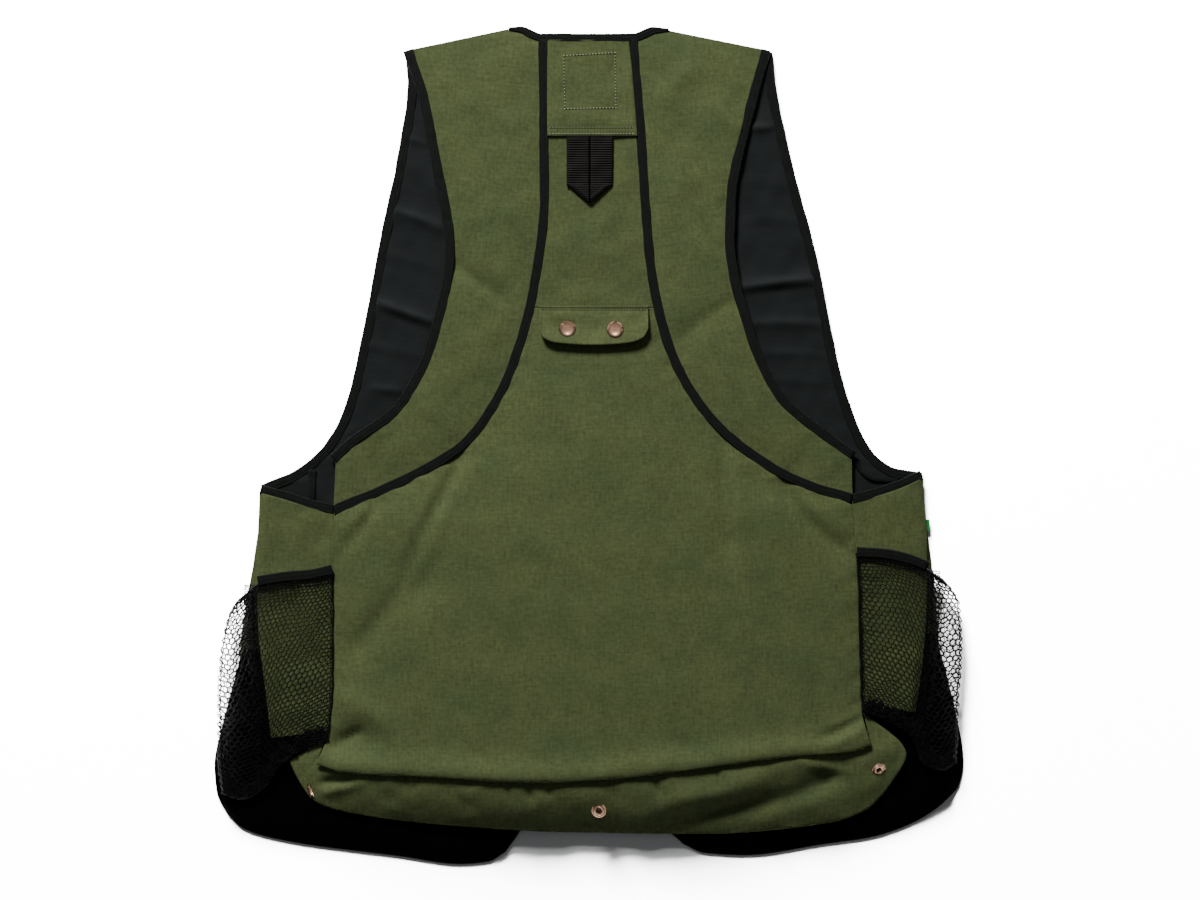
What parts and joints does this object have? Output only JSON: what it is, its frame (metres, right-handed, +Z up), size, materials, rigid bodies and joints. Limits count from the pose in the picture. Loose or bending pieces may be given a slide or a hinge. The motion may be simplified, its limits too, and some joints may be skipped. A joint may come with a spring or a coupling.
{
  "type": "dog training vest",
  "caption": "Sleeveless field vest laid flat, back up: green canvas with black tape, deep armholes, net side pockets, a gusseted game bag and a snapped flap.",
  "frame": {"origin": "on the surface it lies on, under the middle of the vest's box", "axes": "+Z up out of the wearer's back, +Y towards the neck, +X to the right as seen from above"},
  "size_m": [0.6735, 0.7532, 0.0305],
  "materials": {
    "canvas": "olive green plain-weave canvas, matt",
    "binding": "black folded binding tape, matt",
    "lining": "charcoal lining cloth, slightly smooth",
    "pocket_cloth": "near-black pocket cloth, matt",
    "net": "black knotless net of thin thread",
    "webbing": "black ribbed webbing",
    "bronze": "antique bronze, worn and soft-edged",
    "zip_tape": "black zip tape",
    "zip_plastic": "black moulded teeth",
    "zip_metal": "dark blackened metal",
    "tab_cloth": "bright green woven tab"
  },
  "bodies": {
    "root": {"back_body": "lining", "bag_gusset": "canvas", "bag_panel": "canvas", "centre_binding_left": "binding", "centre_binding_right": "binding", "centre_panel": "canvas", "flap": "canvas", "front_armhole_binding_left": "binding", "front_armhole_binding_right": "binding", "front_left": "canvas", "front_lining_left": "lining", "front_lining_right": "lining", "front_pocket_left": "pocket_cloth", "front_pocket_right": "pocket_cloth", "front_right": "canvas", "mesh_binding_left": "binding", "mesh_binding_right": "binding", "mesh_pocket_left": "net", "mesh_pocket_right": "net", "neck_binding": "binding", "side_left": "canvas", "side_right": "canvas", "side_tab": "tab_cloth", "side_top_binding_left": "binding", "side_top_binding_right": "binding", "snap_cap_left": "bronze", "snap_cap_right": "bronze", "snap_socket_centre": "bronze", "snap_socket_left": "bronze", "snap_socket_right": "bronze", "strap_armhole_binding_left": "binding", "strap_armhole_binding_right": "binding", "strap_left": "canvas", "strap_right": "canvas", "webbing_loop": "webbing", "yoke": "canvas", "zip_slider": "zip_metal", "zip_tape_left": "zip_tape", "zip_tape_right": "zip_tape", "zip_teeth": "zip_plastic"}
  },
  "joints": []
}
